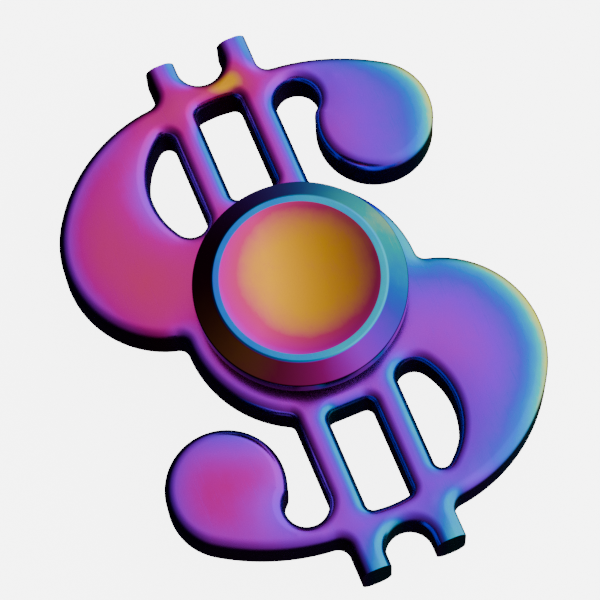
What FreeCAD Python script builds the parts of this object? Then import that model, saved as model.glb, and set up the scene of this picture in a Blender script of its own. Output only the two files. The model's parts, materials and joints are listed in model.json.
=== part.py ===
import FreeCAD, Part
import math
import os
from FreeCAD import Vector

# Fidget spinner: a plate in the shape of an S crossed by two bars, turning on a 608 ball
# bearing, with a finger cap screwed on above and below.
# Millimetres. The origin is on the spin axis at the plate's mid-plane, +Z along the spin axis
# and +Y along the two bars. The plate is its own copy after half a turn about Z.

# Plate
PLATE_THICK = 7.0
PLATE_LENGTH = 65.0
EDGE_ROUND = 1.1
HUB_R = 14.0
BAR_IN = 2.7
BAR_OUT = 6.2
NOTCH_BOTTOM = 28.6
TIP_STOCK = 4.0

# The bowl of the S: three arcs that run into each other, from the hub round to the tip.
# Each angle is the direction from an arc's centre to its joint with the next arc.
BOWL_X = -12.2
BOWL_Y = 11.4
BOWL_FOOT_R = 10.7
BOWL_FOOT_DEG = -112.0
BOWL_SIDE_R = 12.05
BOWL_SIDE_DEG = 150.0
BOWL_TOP_R = 19.25

# The round end of the S, the arc that bridges from it to the tip, and the lobe beside the bar
BLOB_X = 16.25
BLOB_Y = 17.35
BLOB_R = 6.85
BRIDGE_DEG = 56.0
BRIDGE_R = 27.0
LOBE_R = 2.5
LOBE_Y = 22.5

# Slots through the plate
MID_SLOT_IN = 13.8
MID_SLOT_OUT = 26.1
MID_SLOT_BULGE = 0.3
D_SLOT_IN = 11.6
D_SLOT_X = -2.4
D_SLOT_Y = 17.3
D_SLOT_R = 8.8

# Corner radii of the plate's plan
BOWL_CORNER_R = 1.2
SHOULDER_R = 1.5
HUB_CORNER_R = 0.9
CUSP_R = 1.3
SLOT_CORNER_R = 0.9
D_FOOT_R = 1.8
D_HEEL_R = 2.0
D_TOP_R = 1.0
CORNER_REACH = 0.2

# 608 ball bearing
BEARING_OD = 22.0
BEARING_BORE = 8.0
BEARING_WIDTH = 7.0
BALL_COUNT = 7
BALL_D = 3.969
PITCH_D = 15.0
GROOVE_RATIO = 0.52
BALL_PLAY = 0.03
INNER_LAND_R = 6.05
OUTER_LAND_R = 8.95
RACE_CHAMFER = 0.3

# Ribbon cage, made of two pressed halves riveted between the balls
CAGE_IN_R = 6.85
CAGE_OUT_R = 8.15
CAGE_SHEET = 0.25
CAGE_POCKET_PLAY = 0.09
RIVET_R = 0.35
RIVET_HEAD_R = 0.55
RIVET_HEAD_H = 0.2

# Shields and the wire clips that hold them in the outer ring
SHIELD_IN_R = 6.35
SHIELD_SHEET = 0.3
SEAT_R = 9.55
SEAT_DEPTH = 0.8
CLIP_WIRE_R = 0.2
CLIP_GAP_DEG = 30.0

# Finger caps and what joins them
CAP_R = 12.1
CAP_BOTTOM = 5.9
CAP_SIDE = 1.8
CAP_TOP = 9.6
CAP_RIM_R = 9.7
CAP_DISH_R = 9.0
CAP_DISH_DEPTH = 1.8
CAP_RIM_ROUND = 0.12
CAP_BOSS_R = 5.6
SPIGOT_PLAY = 0.02
SPIGOT_GAP = 0.3
SPIGOT_CHAMFER = 0.3
WASHER_THICK = 0.3
WASHER_PLAY = 0.1
SCREW_R = 2.5
SCREW_LENGTH = 10.0
SCREW_PLAY = 0.02
SCREW_CHAMFER = 0.5
HEX_ACROSS = 2.5
HEX_DEPTH = 2.5
THREAD_DEPTH = 5.8

UP = Vector(0, 0, 1)
ORIGIN = Vector(0, 0, 0)


def turned(profile):
    """Solid of revolution about Z from a closed outline of (radius, height) points."""
    points = [Vector(r, 0, z) for r, z in profile]
    face = Part.Face(Part.makePolygon(points + points[:1]))
    return face.revolve(ORIGIN, UP, 360)


def half_turn(shape):
    """The same shape after half a turn about Z."""
    copy = shape.copy()
    copy.rotate(ORIGIN, UP, 180)
    return copy


def flipped(shape):
    """The same shape turned over about X, for the underside."""
    copy = shape.copy()
    copy.rotate(ORIGIN, Vector(1, 0, 0), 180)
    return copy


def around(shape, count):
    """Copies of a shape spaced evenly about Z, starting with the shape itself."""
    copies = []
    for i in range(count):
        copy = shape.copy()
        copy.rotate(ORIGIN, UP, 360.0 * i / count)
        copies.append(copy)
    return copies


def on_circle(cx, cy, r, degrees):
    a = math.radians(degrees)
    return Vector(cx + r * math.cos(a), cy + r * math.sin(a), 0)


def line(a, b):
    return Part.LineSegment(a, b).toShape()


def arc(a, through, b):
    return Part.Arc(a, through, b).toShape()


def meeting(c1, r1, c2, r2, side):
    """Where two circles cross: side +1 is left of the way from the first centre, -1 right."""
    way = c2 - c1
    gap = way.Length
    along = (gap * gap + r1 * r1 - r2 * r2) / (2 * gap)
    across = side * math.sqrt(r1 * r1 - along * along)
    way.normalize()
    return c1 + way * along + Vector(-way.y, way.x, 0) * across


def run_in(centre, radius, degrees, next_radius):
    """Centre of the arc that touches a first arc from inside or outside, at an angle."""
    return on_circle(centre.x, centre.y, radius - next_radius, degrees)


def bowl_centres():
    foot = Vector(BOWL_X, BOWL_Y, 0)
    side = run_in(foot, BOWL_FOOT_R, BOWL_FOOT_DEG, BOWL_SIDE_R)
    top = run_in(side, BOWL_SIDE_R, BOWL_SIDE_DEG, BOWL_TOP_R)
    return foot, side, top


def blob_centres():
    blob = Vector(BLOB_X, BLOB_Y, 0)
    bridge = run_in(blob, BLOB_R, BRIDGE_DEG, BRIDGE_R)
    lobe = Vector(BAR_OUT + LOBE_R, LOBE_Y, 0)
    return blob, bridge, lobe


def above(centre, radius, x):
    """Point of a circle at x, on its upper side."""
    return Vector(x, centre.y + math.sqrt(radius ** 2 - (x - centre.x) ** 2), 0)


def outline_corners():
    """Corners of the upper half of the outline, by name."""
    foot, _, top = bowl_centres()
    blob, bridge, lobe = blob_centres()
    return {
        "junction": meeting(ORIGIN, HUB_R, foot, BOWL_FOOT_R, 1),
        "left_shoulder": above(top, BOWL_TOP_R, -BAR_OUT),
        "right_shoulder": above(bridge, BRIDGE_R, BAR_OUT),
        "cusp": meeting(blob, BLOB_R, lobe, LOBE_R, 1),
        "bar_foot": above(ORIGIN, HUB_R, BAR_OUT),
    }


def bowl_edges(start, end):
    """The bowl's three arcs, from the junction to the left tip."""
    foot, side, top = bowl_centres()
    first = on_circle(foot.x, foot.y, BOWL_FOOT_R, BOWL_FOOT_DEG)
    second = on_circle(side.x, side.y, BOWL_SIDE_R, BOWL_SIDE_DEG)
    low = math.degrees(math.atan2(start.y - foot.y, start.x - foot.x))
    foot_mid = on_circle(foot.x, foot.y, BOWL_FOOT_R, (low + BOWL_FOOT_DEG) / 2)
    side_mid = on_circle(side.x, side.y, BOWL_SIDE_R, 180)
    top_mid = above(top, BOWL_TOP_R, (second.x + end.x) / 2)
    return [arc(start, foot_mid, first), arc(first, side_mid, second), arc(second, top_mid, end)]


def tip_edges(left, right):
    """The two tips and the round notch between them, left long for cutting square."""
    end_y = PLATE_LENGTH / 2 + TIP_STOCK
    notch_y = NOTCH_BOTTOM + BAR_IN
    path = [left, Vector(-BAR_OUT, end_y, 0), Vector(-BAR_IN, end_y, 0), Vector(-BAR_IN, notch_y, 0)]
    mirrored = [Vector(BAR_IN, notch_y, 0), Vector(BAR_IN, end_y, 0), Vector(BAR_OUT, end_y, 0), right]
    edges = [line(a, b) for a, b in zip(path, path[1:])]
    edges.append(arc(path[-1], Vector(0, NOTCH_BOTTOM, 0), mirrored[0]))
    return edges + [line(a, b) for a, b in zip(mirrored, mirrored[1:])]


def blob_edges(start, cusp, foot):
    """The bridge, the round end, the lobe and the bar's side, down to the hub."""
    blob, bridge, lobe = blob_centres()
    join = on_circle(blob.x, blob.y, BLOB_R, BRIDGE_DEG)
    bridge_mid = above(bridge, BRIDGE_R, (start.x + join.x) / 2)
    lobe_end = Vector(BAR_OUT, LOBE_Y, 0)
    return [
        arc(start, bridge_mid, join),
        arc(join, Vector(blob.x, blob.y - BLOB_R, 0), cusp),
        arc(cusp, Vector(lobe.x, lobe.y + LOBE_R, 0), lobe_end),
        line(lobe_end, foot),
    ]


def half_outline():
    """Edges of the plate's outline over its upper half, from one junction to the other."""
    at = outline_corners()
    foot_deg = math.degrees(math.atan2(at["bar_foot"].y, at["bar_foot"].x))
    hub = arc(at["bar_foot"], on_circle(0, 0, HUB_R, foot_deg / 2), -at["junction"])
    edges = bowl_edges(at["junction"], at["left_shoulder"])
    edges += tip_edges(at["left_shoulder"], at["right_shoulder"])
    edges += blob_edges(at["right_shoulder"], at["cusp"], at["bar_foot"])
    return edges + [hub]


def prism(wire):
    """Closed plan outline, made solid over the plate's thickness."""
    face = Part.Face(wire)
    face.translate(Vector(0, 0, -PLATE_THICK / 2))
    return face.extrude(Vector(0, 0, PLATE_THICK))


def round_corner(solid, spot, radius):
    """Rounds the vertical edge that stands at one plan position."""
    upright = []
    for edge in solid.Edges:
        ends = [v.Point for v in edge.Vertexes]
        if len(ends) == 2 and abs(ends[0].z - ends[1].z) > PLATE_THICK / 2:
            if math.hypot(ends[0].x - spot.x, ends[0].y - spot.y) < CORNER_REACH:
                upright.append(edge)
    return solid.makeFillet(radius, upright)


def plate_blank():
    """The plate's outline made solid, with the corners of its plan rounded."""
    upper = half_outline()
    lower = [half_turn(edge) for edge in upper]
    blank = prism(Part.Wire(upper + lower))
    radii = {
        "junction": BOWL_CORNER_R,
        "left_shoulder": SHOULDER_R,
        "right_shoulder": SHOULDER_R,
        "cusp": CUSP_R,
        "bar_foot": HUB_CORNER_R,
    }
    for name, corner in outline_corners().items():
        for spot in (corner, -corner):
            blank = round_corner(blank, spot, radii[name])
    return blank


def mid_slot():
    """Slot between the two bars: a rectangle whose outer end bows outwards."""
    low_left = Vector(-BAR_IN, MID_SLOT_IN, 0)
    low_right = Vector(BAR_IN, MID_SLOT_IN, 0)
    high_left = Vector(-BAR_IN, MID_SLOT_OUT - MID_SLOT_BULGE, 0)
    high_right = Vector(BAR_IN, MID_SLOT_OUT - MID_SLOT_BULGE, 0)
    wire = Part.Wire([
        line(low_left, low_right),
        line(low_right, high_right),
        arc(high_right, Vector(0, MID_SLOT_OUT, 0), high_left),
        line(high_left, low_left),
    ])
    slot = prism(wire)
    for corner in (low_left, low_right, high_left, high_right):
        slot = round_corner(slot, corner, SLOT_CORNER_R)
    return slot


def d_slot():
    """D-shaped slot in the bowl of the S, straight along the bar."""
    top = Vector(-BAR_OUT, D_SLOT_Y + math.sqrt(D_SLOT_R ** 2 - (BAR_OUT + D_SLOT_X) ** 2), 0)
    foot = Vector(-BAR_OUT, D_SLOT_IN, 0)
    heel = Vector(D_SLOT_X - math.sqrt(D_SLOT_R ** 2 - (D_SLOT_Y - D_SLOT_IN) ** 2), D_SLOT_IN, 0)
    widest = Vector(D_SLOT_X - D_SLOT_R, D_SLOT_Y, 0)
    slot = prism(Part.Wire([line(top, foot), line(foot, heel), arc(heel, widest, top)]))
    for corner, radius in ((foot, D_FOOT_R), (heel, D_HEEL_R), (top, D_TOP_R)):
        slot = round_corner(slot, corner, radius)
    return slot


def long_edges(solid):
    """Edges round the plate's top and bottom faces, without those at the tips' ends."""
    end_y = PLATE_LENGTH / 2 + TIP_STOCK
    found = []
    for edge in solid.Edges:
        box = edge.BoundBox
        in_face = box.ZLength < 1e-6 and abs(abs(box.ZMin) - PLATE_THICK / 2) < 1e-6
        at_end = abs(box.YMin) > end_y - 0.1 and abs(box.YMax) > end_y - 0.1
        if in_face and not at_end:
            found.append(edge)
    return found


def spinner_body():
    """The plate: slots cut, long edges rounded, bearing bore, tips cut square."""
    body = plate_blank()
    for slot in (mid_slot(), d_slot()):
        body = body.cut(slot).cut(half_turn(slot))
    body = body.makeFillet(EDGE_ROUND, long_edges(body))
    reach = PLATE_LENGTH
    keep = Part.makeBox(2 * reach, PLATE_LENGTH, 2 * reach,
                        Vector(-reach, -PLATE_LENGTH / 2, -reach))
    body = body.common(keep)
    bore = Part.makeCylinder(BEARING_OD / 2, 2 * PLATE_THICK, Vector(0, 0, -PLATE_THICK))
    return body.cut(bore)


def race_groove(bottom_r, side):
    """Ring that cuts a ball groove; side is +1 in the outer ring and -1 in the inner."""
    groove_r = GROOVE_RATIO * BALL_D
    centre = bottom_r - side * groove_r
    return Part.makeTorus(centre, groove_r)


def bearing_outer_ring():
    half = BEARING_WIDTH / 2
    outside = BEARING_OD / 2
    c = RACE_CHAMFER
    ring = turned([
        (OUTER_LAND_R, -half + SEAT_DEPTH), (SEAT_R, -half + SEAT_DEPTH), (SEAT_R, -half),
        (outside - c, -half), (outside, -half + c), (outside, half - c), (outside - c, half),
        (SEAT_R, half), (SEAT_R, half - SEAT_DEPTH), (OUTER_LAND_R, half - SEAT_DEPTH),
    ])
    return ring.cut(race_groove((PITCH_D + BALL_D) / 2 + BALL_PLAY, 1))


def bearing_inner_ring():
    half = BEARING_WIDTH / 2
    bore = BEARING_BORE / 2
    c = RACE_CHAMFER
    ring = turned([
        (bore, -half + c), (bore + c, -half), (INNER_LAND_R - c, -half), (INNER_LAND_R, -half + c),
        (INNER_LAND_R, half - c), (INNER_LAND_R - c, half), (bore + c, half), (bore, half - c),
    ])
    return ring.cut(race_groove((PITCH_D - BALL_D) / 2 - BALL_PLAY, -1))


def bearing_balls():
    first = Part.makeSphere(BALL_D / 2, Vector(PITCH_D / 2, 0, 0))
    return around(first, BALL_COUNT)


def cage_band(low, high):
    """Flat ring over the cage's radial width, between two heights."""
    return turned([(CAGE_IN_R, low), (CAGE_OUT_R, low), (CAGE_OUT_R, high), (CAGE_IN_R, high)])


def cage_half():
    """Upper half of the ribbon: flat between the balls, domed over each one."""
    pocket_r = BALL_D / 2 + CAGE_POCKET_PLAY
    centre = Vector(PITCH_D / 2, 0, 0)
    domes = around(Part.makeSphere(pocket_r + CAGE_SHEET, centre), BALL_COUNT)
    pockets = around(Part.makeSphere(pocket_r, centre), BALL_COUNT)
    upper_band = cage_band(0, BALL_D)
    ribbon = cage_band(0, CAGE_SHEET).fuse([dome.common(upper_band) for dome in domes])
    ribbon = ribbon.cut(pockets)
    return ribbon.cut(rivet_set(RIVET_R, RIVET_R))


def rivet_set(stem_r, head_r):
    """Rivets on the pitch circle, midway between the balls, with a head at each end."""
    seat = CAGE_SHEET
    top = CAGE_SHEET + RIVET_HEAD_H
    rivet = turned([
        (0, -top), (head_r, -seat - RIVET_HEAD_H / 2), (head_r, -seat), (stem_r, -seat),
        (stem_r, seat), (head_r, seat), (head_r, seat + RIVET_HEAD_H / 2), (0, top),
    ])
    rivet.translate(Vector(PITCH_D / 2, 0, 0))
    rivet.rotate(ORIGIN, UP, 180.0 / BALL_COUNT)
    return Part.makeCompound(around(rivet, BALL_COUNT))


def bearing_shield():
    """Upper shield: a thin washer with its rim turned up into the outer ring's seat."""
    low = BEARING_WIDTH / 2 - SEAT_DEPTH
    high = low + SHIELD_SHEET
    rim_in = SEAT_R - SHIELD_SHEET
    return turned([
        (SHIELD_IN_R, low), (SEAT_R, low), (SEAT_R, high + CLIP_WIRE_R / 2),
        (rim_in, high), (SHIELD_IN_R, high),
    ])


def shield_clip():
    """Open ring of wire that springs out against the seat, above the upper shield."""
    ring_r = SEAT_R - CLIP_WIRE_R
    height = BEARING_WIDTH / 2 - SEAT_DEPTH + SHIELD_SHEET + 1.5 * CLIP_WIRE_R
    section = Part.Face(Part.Wire(Part.makeCircle(CLIP_WIRE_R, Vector(ring_r, 0, height), Vector(0, 1, 0))))
    clip = section.revolve(ORIGIN, UP, 360 - CLIP_GAP_DEG)
    clip.rotate(ORIGIN, UP, CLIP_GAP_DEG / 2)
    return clip


def finger_cap():
    """Upper finger cap: dished top, bevelled side, boss and spigot with a threaded hole."""
    spigot_r = BEARING_BORE / 2 - SPIGOT_PLAY
    boss_foot = BEARING_WIDTH / 2 + WASHER_THICK
    c = SPIGOT_CHAMFER
    cap = turned([
        (0, SPIGOT_GAP), (spigot_r - c, SPIGOT_GAP), (spigot_r, SPIGOT_GAP + c),
        (spigot_r, boss_foot), (CAP_BOSS_R, boss_foot), (CAP_BOSS_R, CAP_BOTTOM),
        (CAP_R, CAP_BOTTOM), (CAP_R, CAP_BOTTOM + CAP_SIDE), (CAP_RIM_R, CAP_TOP), (0, CAP_TOP),
    ])
    dish_r = (CAP_DISH_R ** 2 + CAP_DISH_DEPTH ** 2) / (2 * CAP_DISH_DEPTH)
    dish = Part.makeSphere(dish_r, Vector(0, 0, CAP_TOP - CAP_DISH_DEPTH + dish_r))
    cap = cap.cut(dish)
    rim = [edge for edge in cap.Edges if edge.BoundBox.ZMin > CAP_TOP - 1e-6]
    cap = cap.makeFillet(CAP_RIM_ROUND, rim)
    return cap.cut(Part.makeCylinder(SCREW_R + SCREW_PLAY, THREAD_DEPTH))


def spacer_washer():
    """Thin washer between the upper cap's boss and the bearing's inner ring."""
    low = BEARING_WIDTH / 2
    high = low + WASHER_THICK
    inside = BEARING_BORE / 2 + WASHER_PLAY
    return turned([(inside, low), (CAP_BOSS_R, low), (CAP_BOSS_R, high), (inside, high)])


def cap_screw():
    """Set screw that draws the two caps together through the bearing."""
    half = SCREW_LENGTH / 2
    c = SCREW_CHAMFER
    screw = turned([
        (0, -half), (SCREW_R - c, -half), (SCREW_R, -half + c),
        (SCREW_R, half - c), (SCREW_R - c, half), (0, half),
    ])
    corner_r = HEX_ACROSS / math.sqrt(3)
    corners = [on_circle(0, 0, corner_r, 60 * i) for i in range(6)]
    socket = Part.Face(Part.makePolygon(corners + corners[:1]))
    socket.translate(Vector(0, 0, half - HEX_DEPTH))
    return screw.cut(socket.extrude(Vector(0, 0, HEX_DEPTH)))


def build_nodes():
    """Every sub-part by its node name."""
    nodes = {
        "spinner_body": spinner_body(),
        "bearing_outer_ring": bearing_outer_ring(),
        "bearing_inner_ring": bearing_inner_ring(),
        "cage_rivets": rivet_set(RIVET_R, RIVET_HEAD_R),
        "cap_screw": cap_screw(),
    }
    pairs = {
        "cage": cage_half(),
        "shield": bearing_shield(),
        "shield_clip": shield_clip(),
        "finger_cap": finger_cap(),
        "spacer_washer": spacer_washer(),
    }
    for name, shape in pairs.items():
        nodes["upper_" + name] = shape
        nodes["lower_" + name] = flipped(shape)
    for number, ball in enumerate(bearing_balls(), start=1):
        nodes["ball_" + str(number)] = ball
    return nodes


os.makedirs("parts", exist_ok=True)
for node, shape in build_nodes().items():
    shape.exportStep("parts/" + node + ".step")
    print(node, "valid", shape.isValid(), "solids", len(shape.Solids), "mm3", round(shape.Volume, 2))
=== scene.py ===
import json
import math

import bmesh
import bpy
import numpy as np
from mathutils import Matrix, Vector
from mathutils.geometry import delaunay_2d_cdt
from mathutils.kdtree import KDTree


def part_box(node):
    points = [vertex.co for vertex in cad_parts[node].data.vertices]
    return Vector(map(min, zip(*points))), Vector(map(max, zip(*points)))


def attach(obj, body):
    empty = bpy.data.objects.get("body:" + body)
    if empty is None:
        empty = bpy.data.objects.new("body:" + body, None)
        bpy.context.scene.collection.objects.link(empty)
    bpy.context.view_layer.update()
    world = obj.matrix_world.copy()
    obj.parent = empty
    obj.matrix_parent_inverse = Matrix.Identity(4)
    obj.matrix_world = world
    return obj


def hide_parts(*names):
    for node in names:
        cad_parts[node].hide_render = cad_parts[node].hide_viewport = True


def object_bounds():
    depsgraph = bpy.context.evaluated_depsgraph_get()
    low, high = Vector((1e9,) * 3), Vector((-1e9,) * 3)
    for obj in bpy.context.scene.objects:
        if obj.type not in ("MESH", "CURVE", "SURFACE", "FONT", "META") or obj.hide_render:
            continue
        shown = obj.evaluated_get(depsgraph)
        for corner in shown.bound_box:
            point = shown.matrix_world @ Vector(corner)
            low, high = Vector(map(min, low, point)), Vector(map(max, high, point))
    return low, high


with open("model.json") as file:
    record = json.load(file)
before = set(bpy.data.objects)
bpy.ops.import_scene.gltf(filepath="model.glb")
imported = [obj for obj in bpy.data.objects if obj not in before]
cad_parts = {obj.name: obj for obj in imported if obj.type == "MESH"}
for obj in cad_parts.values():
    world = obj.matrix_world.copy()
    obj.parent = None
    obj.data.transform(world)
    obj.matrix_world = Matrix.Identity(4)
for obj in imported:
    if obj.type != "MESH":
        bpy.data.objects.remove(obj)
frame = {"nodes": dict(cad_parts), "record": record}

# The rainbow-plated plate and the two finger caps are rebuilt from slices through their own CAD
# nodes, finer and with softer edges. The bearing's parts keep their CAD meshes.
# Lengths are in metres and angles in degrees, in the frame's own axes.

MM = 0.001
CAD_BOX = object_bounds()
SAME = 1e-3 * MM
CORNER_DEGREES = 30.0

# Smooth curves: a straight run gets a point near each end if it is this many times longer than the
# runs beside it, at this share of its length but no further in than the reach
LONG_RATIO = 1.5
GUARD_SHARE = 0.3
GUARD_REACH = 0.3 * MM

# Plate: how its long edges are rounded and how its faces swell towards the middle
EDGE_RADIUS = 1.35 * MM
CROWN_HEIGHT = 0.2 * MM
CROWN_WIDTH = 4.5 * MM

# Plate's mesh: points along its edges, rings at set depths inside them, then a grid
OUTLINE_STEP = 0.2 * MM
RING_DEGREES = (6, 14, 23, 32, 41, 50, 59, 68, 79, 90)
CROWN_RINGS = (1.7 * MM, 2.1 * MM, 2.6 * MM)
BORE_GAP = 0.1 * MM
GRID_STEP = 0.45 * MM
GRID_START = 0.9 * CROWN_RINGS[-1]
GRID_CLEAR = 0.6 * GRID_STEP
WALL_LEVELS = 6
SMOOTHINGS = 12
SMOOTH_FROM = 0.85 * EDGE_RADIUS
COTANGENTS = (0.01, 20)
TINY_AREA = 1e-14

# Caps' mesh
CAP_SEGMENTS = 192
CAP_STEP = 0.25 * MM
CAP_CORNER = 0.14 * MM
CORNER_SHARE = 0.4
CORNER_POINTS = 6
AXIS_GAP = 0.1 * CAP_STEP

# Rainbow coating: its colour along the film's phase, from the thinnest film to the thickest
FILM_COLOURS = (
    (0.00, (0.66, 0.29, 0.004)),
    (0.14, (0.48, 0.028, 0.13)),
    (0.28, (0.46, 0.002, 0.26)),
    (0.42, (0.36, 0.002, 0.62)),
    (0.54, (0.20, 0.003, 0.80)),
    (0.66, (0.055, 0.05, 0.64)),
    (0.72, (0.015, 0.12, 0.62)),
    (0.78, (0.001, 0.25, 0.58)),
    (0.84, (0.003, 0.42, 0.42)),
    (0.92, (0.62, 0.64, 0.03)),
    (1.00, (0.80, 0.42, 0.50)),
)

# Steels by material slot: colour, roughness, marks and how dark their stains are
STEELS = {
    "bearing_steel": ((0.60, 0.61, 0.62), 0.16, "turned", 0.25),
    "ball_steel": ((0.74, 0.75, 0.77), 0.07, "lapped", 0.12),
    "cage_steel": ((0.52, 0.50, 0.46), 0.30, "pressed", 0.40),
    "shield_steel": ((0.58, 0.58, 0.59), 0.28, "turned", 0.30),
    "clip_steel": ((0.42, 0.42, 0.43), 0.26, "drawn", 0.35),
    "washer_steel": ((0.56, 0.56, 0.56), 0.32, "pressed", 0.30),
    "screw_steel": ((0.10, 0.10, 0.11), 0.40, "drawn", 0.55),
}

# Film on the plate, in mm: its phase in the middle and how it changes along X and Y, and the spots
# where it is thinner or thicker (x, y, size, shift)
PLATE_PHASE = 0.335
PLATE_SLOPE = (0.0085, -0.0055)
SPOTS = (
    (1.8, 27.6, 2.4, -0.36),
    (-16.0, -17.0, 7.0, -0.09),
    (-13.0, -3.0, 4.0, -0.12),
    (-4.5, 33.0, 3.2, 0.30),
    (4.5, 33.0, 3.2, 0.32),
    (-4.5, -33.0, 3.8, 0.36),
    (4.5, -33.0, 3.8, 0.32),
    (13.5, 1.0, 4.5, 0.22),
    (18.0, 16.5, 8.0, 0.15),
    (14.5, -14.0, 8.0, -0.12),
    (-14.0, 5.0, 7.0, -0.05),
)

# Film by the plate's edges, partly its own change of colour at the rounded edges and partly painted
# highlight set by which way each edge faces: the plan direction that its bright edges face, the one
# that the bowls' broad glow faces and how much of it the other edges keep, and how fast a glow falls
# off
BRIGHT_WAY = (0.94, -0.34)
AROUND_WAY = (0.96, 0.15)
AROUND_LEAST = 0.3
FACING_POWER = 0.7
GLOW_POWER = 4
GLOW_BATCH = 1000

# Stretches of the plate in mm, from where each starts to where it is full: the bowls, the bars and
# the bowls' far ends by distance from the Y axis, and the upper bridge between the bars along Y
BOWLS = (8.0, 14.0)
BARS = (8.5, 6.5)
FAR_ENDS = (15.0, 20.0)
BRIDGE_FOOT = (21.5, 25.5)
BRIDGE_HEAD = (30.0, 28.0)

# Film on the caps: the dish's radius in mm, the middle and size in mm of its rings of colour, their
# phase and steepness, and how far down from its top the rim's film goes
DISH_R = 9.0
DISH_MIDDLE = (1.0, 0.6)
DISH_SIZE = 10
DISH_PHASE = 0.36
DISH_POWER = 3.8
RIM_DEPTH = 0.15 * MM

# Film round the caps, partly its own colour and partly painted sheen set by which side faces the
# bright
# light: middle phase, swing, and the angle in radians where it is highest
RIM_FILM = (0.775, 0.05, -0.4)
BEVEL_FILM = (0.46, 0.40, 0.3)

# Painted shade on the caps: share of its colour that the film keeps on the caps' bevels, the share
# of that left on their upright sides, and where inside the widest radius, in mm, the second share
# starts and is full
BEVEL_PAINTED_SHADE = 0.55
SIDE_PAINTED_SHADE = 0.08
SIDE_START = 0.12
SIDE_FULL = 0.04

# Patterns in the surfaces, in waves per metre
CLOUD_SCALE = 150.0
FINE_SCALE = 900.0
GRAIN_SCALE = 5200.0
RING_SCALE = 9000.0
TARNISH_SCALE = 420.0

# Hairlines: waves per metre, turn in degrees and length against width each way, and the noise level
# above which a line shows, with its gain
HAIRLINE_SCALE = 7000
HAIRLINE_WAYS = ((34, 24), (-61, 36))
HAIRLINE_LEVEL = 0.62
HAIRLINE_GAIN = 8.0

# Film's looks: how far each pattern moves its phase, its roughness and its height
CLOUD_DRIFT = 0.09
FINE_DRIFT = 0.024
HAIRLINE_DRIFT = 0.05
ROUGH_LEAST = 0.8
ROUGH_CLOUD = 0.3
ROUGH_GRAIN = 0.12
ROUGH_HAIRLINE = 0.16
ROUGH_RING = 0.06
HEIGHT_GRAIN = 0.25
HEIGHT_HAIRLINE = -0.4
HEIGHT_RING = 0.3
FILM_BUMP = 0.02 * MM

# Steels' looks: noise and detail of each kind of mark, how drawn lines are stretched, the stops
# between stain and clean steel, and the bump's depth and strength
STEEL_MARKS = {"drawn": (2400.0, 3.0), "pressed": (3600.0, 4.0), "lapped": (1400.0, 2.0)}
DRAWN_SCALE = (1, 1, 9)
STAIN_STOPS = (0.2, 0.75)
STEEL_BUMP = 0.01 * MM
STEEL_BUMP_STRENGTH = 0.35

# Camera: the object's turns before a lens that looks along -Z, and its place there
CAMERA_SPIN = 17.93
CAMERA_TILT = -18.96
CAMERA_ROLL = 4.81
CAMERA_PLACE = Vector((0.232, -0.562, -341.7)) * MM
CAMERA_LENS = 180.0

# Floor: half its side in metres, its grey, its roughness and its glow
FLOOR_HALF = 0.6
FLOOR_GREY = 0.9
FLOOR_ROUGHNESS = 0.9
FLOOR_GLOW = 5.5

# Sky: the way to its brightest part, how fast it darkens away from there, the cosine at which its
# strength is 1, and its greatest strength
SKY_WAY = (0.90, -0.12, 0.41)
SKY_CONTRAST = 1.9
SKY_LEVEL = 0.311
SKY_BRIGHTEST = 1.95

# Ground: the way up from it, the cosines between which it gives way to the sky, and its light
GROUND_WAY = (0.45, -0.20, 0.87)
GROUND_FADE = (-0.45, 0.1)
GROUND_LIGHT = 0.02


# ---- curves from slices ----

def sliced(node, origin, normal):
    """Closed loops where a plane cuts a CAD node, as arrays of points without those in line."""
    bm = bmesh.new()
    bm.from_mesh(frame["nodes"][node].data)
    bmesh.ops.remove_doubles(bm, verts=bm.verts, dist=SAME)
    bmesh.ops.bisect_plane(bm, geom=bm.verts[:] + bm.edges[:] + bm.faces[:], dist=1e-8,
                           plane_co=origin, plane_no=normal, clear_inner=True, clear_outer=True)
    loops = []
    seen = set()
    for start in bm.verts:
        loop = []
        vert = start
        while vert is not None and vert not in seen:
            seen.add(vert)
            loop.append(vert.co.copy())
            onward = [edge.other_vert(vert) for edge in vert.link_edges]
            vert = next((v for v in onward if v not in seen), None)
        if len(loop) > 2:
            loops.append(without_inline(np.array(loop)))
    bm.free()
    return loops


def without_inline(points):
    """A closed loop without the points that lie in line with both neighbours."""
    before = np.roll(points, 1, 0)
    chord = np.roll(points, -1, 0) - before
    chord /= np.linalg.norm(chord, axis=1)[:, None]
    offset = points - before
    across = offset - (offset * chord).sum(1)[:, None] * chord
    return points[np.linalg.norm(across, axis=1) > 0.1 * SAME]


def turning(points):
    """Angle by which a closed plan loop turns at each point, in radians."""
    into = points - np.roll(points, 1, 0)
    out = np.roll(points, -1, 0) - points
    cross = into[:, 0] * out[:, 1] - into[:, 1] * out[:, 0]
    return np.arctan2(cross, (into * out).sum(1))


def guarded(points):
    """A loop with a point added near each end of its straight runs, so that curves stop there."""
    corner = np.abs(turning(points)) > math.radians(CORNER_DEGREES)
    length = np.linalg.norm(np.roll(points, -1, 0) - points, axis=1)
    made = []
    for i, a in enumerate(points):
        j = (i + 1) % len(points)
        made.append(a)
        if corner[i] or corner[j] or length[i] > LONG_RATIO * max(length[i - 1], length[j]):
            share = min(GUARD_SHARE, GUARD_REACH / length[i])
            made.append(a + (points[j] - a) * share)
            made.append(points[j] + (a - points[j]) * share)
    return np.array(made)


def smooth_runs(points, step):
    """A closed loop cut at its sharp corners into runs, each made fine along a smooth curve.
    Gives (points, unit tangents, closed) for each run."""
    points = guarded(points)
    corners = np.flatnonzero(np.abs(turning(points)) > math.radians(CORNER_DEGREES))
    count = len(points)
    closed = len(corners) == 0
    spans = [(0, count)]
    if not closed:
        spans = [(a, b if b > a else b + count) for a, b in zip(corners, np.roll(corners, -1))]
    runs = []
    for a, b in spans:
        knots = points[np.arange(a, b + 1) % count]
        runs.append(smooth_run(knots, closed, step) + (closed,))
    return runs


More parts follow.
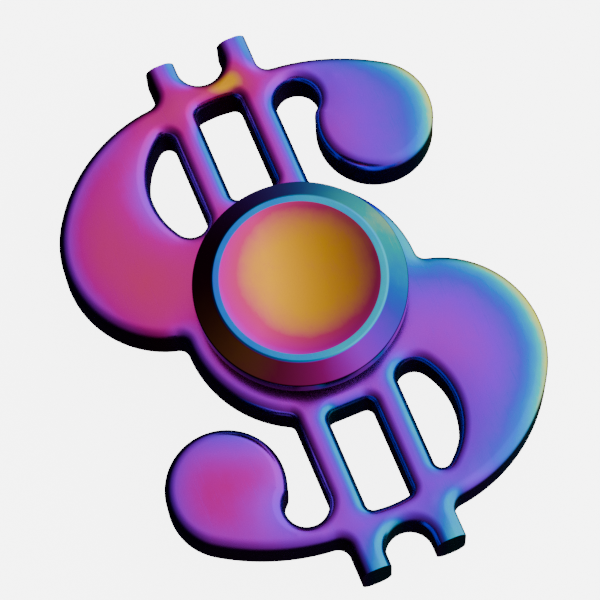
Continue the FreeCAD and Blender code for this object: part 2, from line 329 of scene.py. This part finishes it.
def smooth_run(knots, closed, step):
    """Points and unit tangents along a smooth curve through the knots."""
    chord = np.diff(knots, axis=0)
    length = np.linalg.norm(chord, axis=1)
    chord /= length[:, None]
    tangent = np.empty_like(knots)
    blend = chord[:-1] * length[1:, None] + chord[1:] * length[:-1, None]
    tangent[1:-1] = blend / np.linalg.norm(blend, axis=1)[:, None]
    tangent[0], tangent[-1] = chord[0], chord[-1]
    if closed:
        joint = chord[-1] * length[0] + chord[0] * length[-1]
        tangent[0] = tangent[-1] = joint / np.linalg.norm(joint)
    made, along = [], []
    for p, q, t, u, size in zip(knots, knots[1:], tangent, tangent[1:], length):
        pieces = max(1, math.ceil(size / step))
        for s in np.arange(pieces) / pieces:
            place = (1 + 2 * s) * (1 - s) ** 2 * p + s * s * (3 - 2 * s) * q
            made.append(place + size * (s * (1 - s) ** 2 * t - s * s * (1 - s) * u))
            way = 6 * s * (1 - s) * (q - p) / size + (1 - s) * (1 - 3 * s) * t + s * (3 * s - 2) * u
            along.append(way / np.linalg.norm(way))
    if not closed:
        made.append(knots[-1])
        along.append(tangent[-1])
    return np.array(made), np.array(along)


def signed_area(points):
    """Area inside a closed plan loop, positive where it runs anticlockwise."""
    x, y = points[:, 0], points[:, 1]
    return 0.5 * float((x * np.roll(y, -1) - y * np.roll(x, -1)).sum())


def tree_of(points):
    """Search tree of plan points."""
    tree = KDTree(len(points))
    for i, p in enumerate(points):
        tree.insert((p[0], p[1], 0), i)
    tree.balance()
    return tree


def nearest(tree, points):
    """Distance from each plan point to the tree's nearest, and that one's number."""
    found = [tree.find((p[0], p[1], 0)) for p in points]
    return np.array([f[2] for f in found]), np.array([f[1] for f in found])


# ---- the plate ----

def face_height(depth, half):
    """Height of the plate's face at a depth inwards from its edge."""
    short = 1 - np.clip(depth / EDGE_RADIUS, 0, 1)
    swell = 1 - np.clip(depth / CROWN_WIDTH, 0, 1)
    return half - EDGE_RADIUS * (1 - np.sqrt(1 - short ** 2)) - CROWN_HEIGHT * swell ** 2


def plate_edges(node):
    """The plate's outline and slots as fine runs with the solid on their left, without the square
    ends of the tips, and its bore as a separate run."""
    tip_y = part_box(node)[1].y
    loops = [loop[:, :2] for loop in sliced(node, (0, 0, 3 * SAME), (0, 0, 1))]
    loops.sort(key=lambda loop: -abs(signed_area(loop)))
    runs, bore = [], None
    for i, loop in enumerate(loops):
        if (signed_area(loop) > 0) != (i == 0):
            loop = loop[::-1]
        for points, along, closed in smooth_runs(loop, OUTLINE_STEP):
            left = np.stack([-along[:, 1], along[:, 0]], 1)
            radius = np.hypot(points[:, 0], points[:, 1])
            if np.ptp(radius) < 10 * SAME:
                bore = (points, left, closed)
            elif np.abs(points[:, 1]).min() < tip_y - SAME:
                runs.append((points, left, closed))
    return runs, bore


def plate_plan(node):
    """Plan points over the plate's face, their depth from the long edges, triangles, and how many
    points lie on the long edges and on the bore, which come first, before the rings and grid."""
    low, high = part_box(node)
    runs, bore = plate_edges(node)
    edge = np.concatenate([r[0] for r in runs])
    inward = np.concatenate([r[1] for r in runs])
    bore_r = float(np.hypot(*bore[0][0]))
    tree = tree_of(edge)
    points = [edge, bore[0]]
    depths = [EDGE_RADIUS * (1 - math.cos(math.radians(a))) for a in RING_DEGREES]
    for depth in depths + list(CROWN_RINGS):
        thin = 2 if depth > EDGE_RADIUS else 1
        ring = (edge + inward * depth)[::thin]
        clear = nearest(tree, ring)[0] > depth - 2 * SAME
        clear &= np.hypot(ring[:, 0], ring[:, 1]) > bore_r + BORE_GAP
        points.append(ring[clear & (np.abs(ring[:, 1]) < high.y + SAME)])
    ringed = np.concatenate(points)
    xs = np.arange(low.x, high.x, GRID_STEP)
    ys = np.arange(low.y, high.y, GRID_STEP)
    grid = np.array([(x + GRID_STEP / 2 * (j % 2), y) for j, y in enumerate(ys) for x in xs])
    who = nearest(tree, grid)[1]
    inner = ((grid - edge[who]) * inward[who]).sum(1) > GRID_START
    inner &= nearest(tree_of(ringed), grid)[0] > GRID_CLEAR
    inner &= np.hypot(grid[:, 0], grid[:, 1]) > bore_r + GRID_STEP / 2
    points = np.concatenate([ringed, grid[inner]])

    links = []
    first = 0
    for run, _, closed in runs + [bore]:
        count = len(run)
        links += [(first + k, first + k + 1) for k in range(count - 1)]
        if closed:
            links.append((first + count - 1, first))
        first += count
    at_tip = np.flatnonzero(np.abs(points[:, 1]) > high.y - SAME)
    for side_x in (-1, 1):
        for side_y in (-1, 1):
            end = [i for i in at_tip if points[i, 0] * side_x > 0 and points[i, 1] * side_y > 0]
            end.sort(key=lambda i: points[i, 0])
            links += list(zip(end, end[1:]))
    triangles = triangulated(points, links)
    return points, nearest(tree, points)[0], triangles, len(edge), len(bore[0])


def triangulated(points, links):
    """Triangles that fill a plan outline with holes, anticlockwise."""
    made = delaunay_2d_cdt([Vector(p) for p in points], links, [], 1, 1e-9)
    if len(made[0]) != len(points):
        raise ValueError("the plate's plan has crossing lines")
    origin = [o[0] for o in made[3]]
    faces = np.array([[origin[i] for i in face] for face in made[2]])
    a, b, c = (points[faces[:, k]] for k in range(3))
    area = (b[:, 0] - a[:, 0]) * (c[:, 1] - a[:, 1]) - (b[:, 1] - a[:, 1]) * (c[:, 0] - a[:, 0])
    faces[area < 0] = faces[area < 0][:, ::-1]
    on_edge = set(i for link in links for i in link)
    rim = np.array([all(i in on_edge for i in face) for face in faces])
    middle = points[faces].mean(1)
    keep = ~rim
    keep[rim] = odd_inside(middle[rim], points, links)
    return faces[keep & (np.abs(area) > TINY_AREA)]


def odd_inside(spots, points, links):
    """Whether each plan spot lies inside the outline that the links draw."""
    odd = np.zeros(len(spots), bool)
    for i, j in links:
        (x0, y0), (x1, y1) = points[i], points[j]
        if y0 != y1:
            level = (spots[:, 1] < max(y0, y1)) & (spots[:, 1] >= min(y0, y1))
            odd ^= level & (spots[:, 0] < x0 + (spots[:, 1] - y0) * (x1 - x0) / (y1 - y0))
    return odd


def smoothed(values, points, triangles, movable, times):
    """Values evened out over the plan's triangles where they may move, leaving even slopes as
    they are, because each side weighs as the cotangents of the angles across it."""
    pairs, weights = [], []
    for k in range(3):
        across, i, j = triangles[:, k], triangles[:, k - 2], triangles[:, k - 1]
        u, v = points[i] - points[across], points[j] - points[across]
        cotangent = (u * v).sum(1) / (u[:, 0] * v[:, 1] - u[:, 1] * v[:, 0])
        pairs += [np.stack([i, j], 1), np.stack([j, i], 1)]
        weights += [np.clip(cotangent, *COTANGENTS)] * 2
    pairs, weights = np.concatenate(pairs), np.concatenate(weights)
    total = np.bincount(pairs[:, 0], weights, len(values))
    for _ in range(times):
        pull = np.bincount(pairs[:, 0], weights * values[pairs[:, 1]], len(values))
        values = np.where(movable, pull / np.maximum(total, 1e-9), values)
    return values


def rim_links(triangles):
    """Directed edges that only one triangle has."""
    pairs = np.concatenate([triangles[:, (0, 1)], triangles[:, (1, 2)], triangles[:, (2, 0)]])
    have = set(map(tuple, pairs.tolist()))
    return [(a, b) for a, b in map(tuple, pairs.tolist()) if (b, a) not in have]


def build_plate(node, name):
    """The plate as one closed mesh: both faces, and walls between them round every edge. Gives it
    with its face's plan points, and the number of the one above or below each vertex."""
    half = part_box(node)[1].z
    points, depth, triangles, edge_count, bore_count = plate_plan(node)
    count = len(points)
    number = np.arange(count)
    is_bore = (number >= edge_count) & (number < edge_count + bore_count)
    top = np.where(is_bore, half, face_height(depth, half))
    top = smoothed(top, points, triangles, (depth > SMOOTH_FROM) & ~is_bore, SMOOTHINGS)
    verts = [np.column_stack([points, top]), np.column_stack([points, -top])]
    faces = triangles.tolist() + (triangles[:, ::-1] + count).tolist()
    rim = rim_links(triangles)
    column = {}
    above = [number, number]
    made = 2 * count
    shares = 1 - 2 * np.arange(1, WALL_LEVELS) / WALL_LEVELS
    for i in sorted(set(i for link in rim for i in link)):
        wall = [(points[i, 0], points[i, 1], top[i] * share) for share in shares]
        column[i] = [i] + list(range(made, made + len(wall))) + [i + count]
        verts.append(np.array(wall))
        above.append(np.full(len(wall), i))
        made += len(wall)
    for a, b in rim:
        for k in range(WALL_LEVELS):
            faces.append((column[a][k], column[a][k + 1], column[b][k + 1], column[b][k]))
    plate = mesh_object(name, np.concatenate(verts), faces)
    sharpen(plate.data)
    return plate, points, np.concatenate(above)


def mesh_object(name, verts, faces):
    """A smooth-shaded mesh object in the scene."""
    mesh = bpy.data.meshes.new(name)
    mesh.from_pydata(verts.tolist(), [], faces)
    mesh.shade_smooth()
    made = bpy.data.objects.new(name, mesh)
    bpy.context.scene.collection.objects.link(made)
    return made


def sharpen(mesh):
    """Marks as sharp every edge whose faces meet at more than CORNER_DEGREES."""
    bm = bmesh.new()
    bm.from_mesh(mesh)
    for edge in bm.edges:
        edge.smooth = edge.calc_face_angle(0.0) < math.radians(CORNER_DEGREES)
    bm.to_mesh(mesh)
    bm.free()


# ---- turned parts ----

def half_profile(node):
    """Outline of a solid of revolution from the axis round to the axis again, its corners eased."""
    loop = sliced(node, (0, 0, 0), (0, 1, 0))[0][:, (0, 2)]
    if signed_area(loop) < 0:
        loop = loop[::-1]
    runs = [points for points, _, _ in smooth_runs(loop, CAP_STEP)]
    eased = []
    for before, run in zip(runs[-1:] + runs, runs):
        corner = run[0]
        eased.append(rounded_corner(before, corner, run))
        eased.append(trimmed(run))
    points = np.concatenate(eased)
    ahead = np.roll(points, -1, 0)
    up = [i for i in range(len(points)) if points[i, 0] < 0 <= ahead[i, 0]]
    down = [i for i in range(len(points)) if points[i, 0] >= 0 > ahead[i, 0]]
    start, stop = up[0], down[0]
    if stop < start:
        stop += len(points)
    half = points[np.arange(start + 1, stop + 1) % len(points)]
    first, last = half[0].copy(), half[-1].copy()
    first[0] = last[0] = 0.0
    return np.concatenate([[first], half[half[:, 0] > AXIS_GAP], [last]])


def trimmed(run):
    """A run without the points near its two ends."""
    far = np.linalg.norm(run - run[0], axis=1) > ease_of(run)
    far &= np.linalg.norm(run - run[-1], axis=1) > ease_of(run)
    return run[far]


def ease_of(run):
    """How far along a run its end corners are eased."""
    return min(CAP_CORNER, CORNER_SHARE * np.linalg.norm(np.diff(run, axis=0), axis=1).sum())


def rounded_corner(before, corner, after):
    """A short curve across the corner between two runs."""
    a = point_along(before[::-1], ease_of(before))
    b = point_along(after, ease_of(after))
    shares = np.linspace(0, 1, CORNER_POINTS)[:, None]
    return (1 - shares) ** 2 * a + 2 * shares * (1 - shares) * corner + shares ** 2 * b


def point_along(run, distance):
    """The point at a distance along a run."""
    travelled = np.concatenate([[0], np.cumsum(np.linalg.norm(np.diff(run, axis=0), axis=1))])
    return np.array([np.interp(distance, travelled, run[:, k]) for k in range(2)])


def turned(name, profile):
    """A solid of revolution about Z from its half profile, which starts and ends on the axis."""
    inner = profile[1:-1]
    angles = 2 * np.pi * np.arange(CAP_SEGMENTS) / CAP_SEGMENTS
    ring = np.stack([np.cos(angles), np.sin(angles)], 1)
    verts = [np.column_stack([r * ring, np.full(CAP_SEGMENTS, z)]) for r, z in inner]
    verts += [np.array([[0, 0, profile[0, 1]], [0, 0, profile[-1, 1]]])]
    first, last = len(inner) * CAP_SEGMENTS, len(inner) * CAP_SEGMENTS + 1
    faces = []
    for k in range(CAP_SEGMENTS):
        j = (k + 1) % CAP_SEGMENTS
        faces.append((first, j, k))
        for i in range(len(inner) - 1):
            a = i * CAP_SEGMENTS
            faces.append((a + k, a + j, a + CAP_SEGMENTS + j, a + CAP_SEGMENTS + k))
        a = (len(inner) - 1) * CAP_SEGMENTS
        faces.append((last, a + k, a + j))
    return mesh_object(name, np.concatenate(verts), faces)


# ---- film ----

def smoothstep(low, high, value):
    """Eases from 0 at low to 1 at high, which may be the lower number."""
    share = np.clip((value - low) / (high - low), 0, 1)
    return share * share * (3 - 2 * share)


def glow(spots, sources, strength, reach):
    """How strongly edge points shine into plan spots, falling off over the reach: 1 at an edge."""
    total = np.zeros(len(spots))
    power = GLOW_POWER
    lit = strength > 0
    sources, strength = sources[lit], strength[lit] ** power
    for part in np.array_split(np.arange(len(spots)), max(1, len(spots) // GLOW_BATCH)):
        away = np.hypot(np.subtract.outer(spots[part, 0], sources[:, 0]),
                        np.subtract.outer(spots[part, 1], sources[:, 1]))
        total[part] = np.exp(away * (-power / reach)) @ strength
    return (total * OUTLINE_STEP * power / (2 * reach)) ** (1 / power)


def paint(obj, phase, shade):
    """Stores at each vertex the film's phase and its painted shade, how much of its colour it keeps.
    """
    for name, values in (("film_phase", phase), ("film_painted_shade", shade)):
        layer = obj.data.attributes.new(name, "FLOAT", "POINT")
        layer.data.foreach_set("value", np.asarray(values, np.float32))


def verts_of(obj):
    """A mesh's vertices as an array."""
    co = np.zeros(len(obj.data.vertices) * 3, np.float32)
    obj.data.vertices.foreach_get("co", co)
    return co.reshape(-1, 3).astype(float)


def stretch(bounds, value):
    """How far a length in metres is into a stretch given in mm."""
    return smoothstep(bounds[0] * MM, bounds[1] * MM, value)


def plate_phase(node, plan, above):
    """Film phase at each vertex of the plate: slow drifts and spots, then the glows by its edges,
    which are partly painted highlight.
    """
    runs, _ = plate_edges(node)
    edge = np.concatenate([r[0] for r in runs])
    out = -np.concatenate([r[1] for r in runs])
    aside, along = np.abs(edge[:, 0]), edge[:, 1]
    facing = out @ np.array(BRIGHT_WAY)
    right = np.clip(facing, 0, 1) ** FACING_POWER
    left = np.clip(-facing, 0, 1) ** FACING_POWER
    around = np.clip(AROUND_LEAST + (1 - AROUND_LEAST) * (out @ np.array(AROUND_WAY)), 0, 1)
    outer = stretch(BOWLS, aside)
    far = stretch(FAR_ENDS, aside)
    bridge = stretch(BRIDGE_FOOT, along) * stretch(BRIDGE_HEAD, along)
    on_bar = stretch(BARS, aside) * (1 - bridge)
    x, y = plan[:, 0] / MM, plan[:, 1] / MM
    phase = PLATE_PHASE + PLATE_SLOPE[0] * x + PLATE_SLOPE[1] * y
    for spot_x, spot_y, size, shift in SPOTS:
        phase += shift * np.exp(-((x - spot_x) ** 2 + (y - spot_y) ** 2) / size ** 2)
    # Each glow, partly painted highlight: its strength by edge point, its reach in mm, its gain, and
    # the phase it pulls to
    for strength, reach, gain, goal in (
        (around * outer, 2.8, 1.15, 0.81),
        (around ** 2 * far, 0.85, 1.0, 0.94),
        (left * outer, 2.0, 0.85, 0.66),
        (right ** 2 * on_bar, 0.62, 3.6, 0.77 - 0.001 * y),
        (right * (1 - on_bar) * (1 - outer), 0.6, 1.2, 0.52),
        (left * (1 - outer), 0.62, 1.2, 0.40),
    ):
        share = np.minimum(1, gain * glow(plan, edge, strength, reach * MM))
        phase += share * (goal - phase)
    return np.clip(phase, 0, 1)[above]


def swinging(film, angle):
    """Film phase that swings with the angle about Z, partly painted sheen."""
    middle, swing, highest = film
    return middle + swing * np.cos(angle - highest)


def cap_film(obj):
    """The film's phase and painted shade over a cap: its dish, its rim, its bevel and its upright
    side.
    """
    co = verts_of(obj)
    x, y = co[:, 0] / MM, co[:, 1] / MM
    height = np.abs(co[:, 2])
    r = np.hypot(x, y)
    angle = np.arctan2(y, x)
    dish = r < DISH_R
    rim = ~dish & (height > height.max() - RIM_DEPTH)
    away = np.hypot(x - DISH_MIDDLE[0], y - DISH_MIDDLE[1]) / DISH_SIZE
    phase = np.where(dish, DISH_PHASE * away ** DISH_POWER, swinging(BEVEL_FILM, angle))
    phase = np.where(rim, swinging(RIM_FILM, angle), phase)
    # Painted shade: the film's colour is darkened off the dish and rim, and darker still on the
    # upright side
    shade = np.where(dish | rim, 1.0, BEVEL_PAINTED_SHADE)
    shade *= 1 - (1 - SIDE_PAINTED_SHADE) * smoothstep(r.max() - SIDE_START, r.max() - SIDE_FULL, r)
    return np.clip(phase, 0, 1), shade


# ---- materials ----

def new_material(name):
    """A material with its nodes, links and shader."""
    material = bpy.data.materials.new(name)
    material.use_nodes = True
    nodes = material.node_tree.nodes
    return material, nodes, material.node_tree.links, nodes["Principled BSDF"]


def add(nodes, kind, **settings):
    """A node with its inputs or settings filled in by name."""
    node = nodes.new(kind)
    for key, value in settings.items():
        if key in node.inputs:
            node.inputs[key].default_value = value
        else:
            setattr(node, key, value)
    return node


def chain(nodes, links, source, operation, amount, plus=None):
    """A maths node on a source, with a fixed second value and, for multiply-add, a third."""
    made = add(nodes, "ShaderNodeMath", operation=operation)
    links.new(source, made.inputs[0])
    made.inputs[1].default_value = amount
    if plus is not None:
        made.inputs[2].default_value = plus
    return made.outputs[0]


def summed(nodes, links, first, second):
    """Sum of two sources."""
    made = add(nodes, "ShaderNodeMath", operation="ADD")
    links.new(first, made.inputs[0])
    links.new(second, made.inputs[1])
    return made.outputs[0]


def noise(nodes, links, vector, scale, detail):
    """Noise from 0 to 1."""
    made = add(nodes, "ShaderNodeTexNoise", Scale=scale, Detail=detail)
    links.new(vector, made.inputs["Vector"])
    return made.outputs["Fac"]


def stretched(nodes, links, vector, turn, scale):
    """Texture coordinates turned about Z and drawn out, for marks that run one way."""
    made = add(nodes, "ShaderNodeMapping")
    links.new(vector, made.inputs["Vector"])
    made.inputs["Rotation"].default_value = (0, 0, math.radians(turn))
    made.inputs["Scale"].default_value = scale
    return made.outputs["Vector"]


def bumped(nodes, links, shader, height, distance, strength):
    """Gives a shader a bump."""
    bump = add(nodes, "ShaderNodeBump")
    bump.inputs["Distance"].default_value = distance
    bump.inputs["Strength"].default_value = strength
    links.new(height, bump.inputs["Height"])
    links.new(bump.outputs["Normal"], shader.inputs["Normal"])


def ramped(nodes, links, source, stops):
    """Colour along a row of (place, colour) stops."""
    ramp = add(nodes, "ShaderNodeValToRGB")
    marks = ramp.color_ramp.elements
    while len(marks) < len(stops):
        marks.new(0.5)
    for mark, (place, colour) in zip(marks, stops):
        mark.position = place
        mark.color = tuple(colour) + (1,)
    links.new(source, ramp.inputs[0])
    return ramp.outputs["Color"]


def centred(nodes, links, source, swing):
    """A pattern from 0 to 1 made to swing evenly either side of 0."""
    return chain(nodes, links, source, "MULTIPLY_ADD", swing, -swing / 2)


def scratches(nodes, links, where):
    """Hairlines that run two ways: near 1 on a line, 0 elsewhere."""
    total = None
    for turn, length in HAIRLINE_WAYS:
        scale = (HAIRLINE_SCALE, HAIRLINE_SCALE / length, HAIRLINE_SCALE)
        way = stretched(nodes, links, where, turn, scale)
        line = chain(nodes, links, noise(nodes, links, way, 1.0, 2.0), "SUBTRACT", HAIRLINE_LEVEL)
        line = chain(nodes, links, line, "MULTIPLY", HAIRLINE_GAIN)
        line = chain(nodes, links, line, "MAXIMUM", 0.0)
        total = line if total is None else summed(nodes, links, total, line)
    return chain(nodes, links, total, "MINIMUM", 1.0)


def turning_marks(nodes, links, where):
    """Fine rings round the Z axis."""
    flat = stretched(nodes, links, where, 0, (1, 1, 0))
    radius = add(nodes, "ShaderNodeVectorMath", operation="LENGTH")
    links.new(flat, radius.inputs[0])
    rings = add(nodes, "ShaderNodeTexNoise", noise_dimensions="1D", Scale=RING_SCALE, Detail=4.0)
    links.new(radius.outputs["Value"], rings.inputs["W"])
    return rings.outputs["Fac"]


def film_material(name, roughness, peel, hairlines, rings):
    """Rainbow coating over polished metal: its colour follows the film's phase, which drifts in
    soft clouds, and fine peel, hairlines and turning marks lie in its surface."""
    material, nodes, links, shader = new_material(name)
    shader.inputs["Metallic"].default_value = 1.0
    where = add(nodes, "ShaderNodeTexCoord").outputs["Object"]
    film = add(nodes, "ShaderNodeAttribute", attribute_name="film_phase").outputs["Fac"]
    shade = add(nodes, "ShaderNodeAttribute", attribute_name="film_painted_shade").outputs["Fac"]
    cloud = noise(nodes, links, where, CLOUD_SCALE, 3.0)
    fine = noise(nodes, links, where, FINE_SCALE, 2.0)
    grain = noise(nodes, links, where, GRAIN_SCALE, 3.0)
    marks = scratches(nodes, links, where)
    turned_in = turning_marks(nodes, links, where)

    def added(total, source, amount):
        """A total with an amount of a source added."""
        return summed(nodes, links, total, chain(nodes, links, source, "MULTIPLY", amount))

    phase = summed(nodes, links, film, centred(nodes, links, cloud, CLOUD_DRIFT))
    phase = summed(nodes, links, phase, centred(nodes, links, fine, FINE_DRIFT))
    phase = added(phase, marks, HAIRLINE_DRIFT * hairlines)
    # Painted shade: the film's colour is scaled by its stored shade, darker on the caps' bevels and
    # upright sides
    film_with_painted_shade = add(nodes, "ShaderNodeVectorMath", operation="SCALE")
    links.new(ramped(nodes, links, phase, FILM_COLOURS), film_with_painted_shade.inputs[0])
    links.new(shade, film_with_painted_shade.inputs["Scale"])
    links.new(film_with_painted_shade.outputs["Vector"], shader.inputs["Base Color"])
    least, swing = ROUGH_LEAST * roughness, ROUGH_CLOUD * roughness
    rough = chain(nodes, links, cloud, "MULTIPLY_ADD", swing, least)
    rough = added(rough, grain, ROUGH_GRAIN * roughness)
    rough = added(rough, marks, ROUGH_HAIRLINE * hairlines)
    rough = added(rough, turned_in, ROUGH_RING * rings)
    links.new(rough, shader.inputs["Roughness"])
    height = added(fine, grain, HEIGHT_GRAIN)
    height = added(height, marks, HEIGHT_HAIRLINE * hairlines)
    height = added(height, turned_in, HEIGHT_RING * rings)
    bumped(nodes, links, shader, height, FILM_BUMP, peel)
    return material


def steel_material(name, colour, roughness, marks, stain):
    """Bare steel with turned rings, drawn lines, pressed grain or lapped haze, and faint stains."""
    material, nodes, links, shader = new_material(name)
    shader.inputs["Metallic"].default_value = 1.0
    where = add(nodes, "ShaderNodeTexCoord").outputs["Object"]
    if marks == "turned":
        pattern = turning_marks(nodes, links, where)
    else:
        lines = stretched(nodes, links, where, 0, DRAWN_SCALE) if marks == "drawn" else where
        pattern = noise(nodes, links, lines, *STEEL_MARKS[marks])
    tarnish = noise(nodes, links, where, TARNISH_SCALE, 4.0)
    dark = tuple(c * (1 - stain) for c in colour)
    stops = tuple(zip(STAIN_STOPS, (dark, colour)))
    clean = chain(nodes, links, tarnish, "MULTIPLY_ADD", 0.9, -0.1)
    marked = chain(nodes, links, pattern, "MULTIPLY_ADD", 0.5, -0.2)
    shade = summed(nodes, links, clean, marked)
    links.new(ramped(nodes, links, shade, stops), shader.inputs["Base Color"])
    rough = chain(nodes, links, pattern, "MULTIPLY_ADD", 0.7 * roughness, 0.4 * roughness)
    stained = chain(nodes, links, tarnish, "MULTIPLY", 0.5 * roughness)
    links.new(summed(nodes, links, rough, stained), shader.inputs["Roughness"])
    bumped(nodes, links, shader, pattern, STEEL_BUMP, STEEL_BUMP_STRENGTH)
    return material


# ---- stage ----

def place_camera():
    """Camera from the object's turns and place before it."""
    turns = Matrix.Rotation(math.radians(CAMERA_ROLL), 4, "Z")
    turns = turns @ Matrix.Rotation(math.radians(CAMERA_TILT), 4, "X")
    turns = turns @ Matrix.Rotation(math.radians(CAMERA_SPIN), 4, "Z")
    data = bpy.data.cameras.new("camera")
    data.lens = CAMERA_LENS
    data.clip_start = 10 * MM
    camera = bpy.data.objects.new("camera", data)
    camera.matrix_world = (Matrix.Translation(CAMERA_PLACE) @ turns).inverted()
    bpy.context.scene.collection.objects.link(camera)
    bpy.context.scene.camera = camera


def place_floor():
    """A plain pale floor under the object, left out of the metal's reflections."""
    low = CAD_BOX[0][2]
    corners = ((-1, -1), (1, -1), (1, 1), (-1, 1))
    verts = np.array([(x * FLOOR_HALF, y * FLOOR_HALF, low) for x, y in corners])
    floor = mesh_object("floor", verts, [(0, 1, 2, 3)])
    floor.visible_glossy = False
    material, _, _, shader = new_material("floor")
    shader.inputs["Base Color"].default_value = (FLOOR_GREY, FLOOR_GREY, FLOOR_GREY, 1)
    shader.inputs["Roughness"].default_value = FLOOR_ROUGHNESS
    shader.inputs["Emission Color"].default_value = (1, 1, 1, 1)
    shader.inputs["Emission Strength"].default_value = FLOOR_GLOW
    floor.data.materials.append(material)


def toward(nodes, links, where, way):
    """Cosine between the direction looked in and a way."""
    made = add(nodes, "ShaderNodeVectorMath", operation="DOT_PRODUCT")
    links.new(where, made.inputs[0])
    made.inputs[1].default_value = way
    return made.outputs["Value"]


def light_world():
    """Soft studio light: a bright sky, brightest to the right, and a dark room below."""
    world = bpy.data.worlds.new("studio")
    world.use_nodes = True
    nodes, links = world.node_tree.nodes, world.node_tree.links
    where = add(nodes, "ShaderNodeTexCoord").outputs["Generated"]
    swing = toward(nodes, links, where, SKY_WAY)
    swing = chain(nodes, links, swing, "MULTIPLY_ADD", SKY_CONTRAST, -SKY_LEVEL * SKY_CONTRAST)
    sky = add(nodes, "ShaderNodeMath", operation="EXPONENT")
    links.new(swing, sky.inputs[0])
    softbox = chain(nodes, links, sky.outputs[0], "MINIMUM", SKY_BRIGHTEST)
    ground = add(nodes, "ShaderNodeMapRange", interpolation_type="SMOOTHSTEP")
    ground.inputs["From Min"].default_value = GROUND_FADE[0]
    ground.inputs["From Max"].default_value = GROUND_FADE[1]
    ground.inputs["To Min"].default_value = GROUND_LIGHT
    links.new(toward(nodes, links, where, GROUND_WAY), ground.inputs["Value"])
    total = add(nodes, "ShaderNodeMath", operation="MULTIPLY")
    links.new(softbox, total.inputs[0])
    links.new(ground.outputs[0], total.inputs[1])
    links.new(total.outputs[0], nodes["Background"].inputs["Strength"])
    nodes["Background"].inputs["Color"].default_value = (1, 1, 1, 1)
    bpy.context.scene.world = world


plate, plan, above = build_plate("spinner_body", "plate")
paint(plate, plate_phase("spinner_body", plan, above), np.ones(len(above)))
plate.data.materials.append(film_material("film_satin", 0.22, 0.14, 0.5, 0.0))
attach(plate, "rotor")
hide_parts("spinner_body")

film_mirror = film_material("film_mirror", 0.06, 0.05, 0.35, 1.0)
for side in ("upper", "lower"):
    node = side + "_finger_cap"
    cap = turned(side + "_cap", half_profile(node))
    paint(cap, *cap_film(cap))
    cap.data.materials.append(film_mirror)
    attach(cap, "hub")
    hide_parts(node)

steels = {name: steel_material(name, *look) for name, look in STEELS.items()}
for part in frame["record"]["subparts"]:
    if part["material_slot"] in steels:
        for slot in frame["nodes"][part["node"]].material_slots:
            slot.material = steels[part["material_slot"]]

place_camera()
place_floor()
light_world()
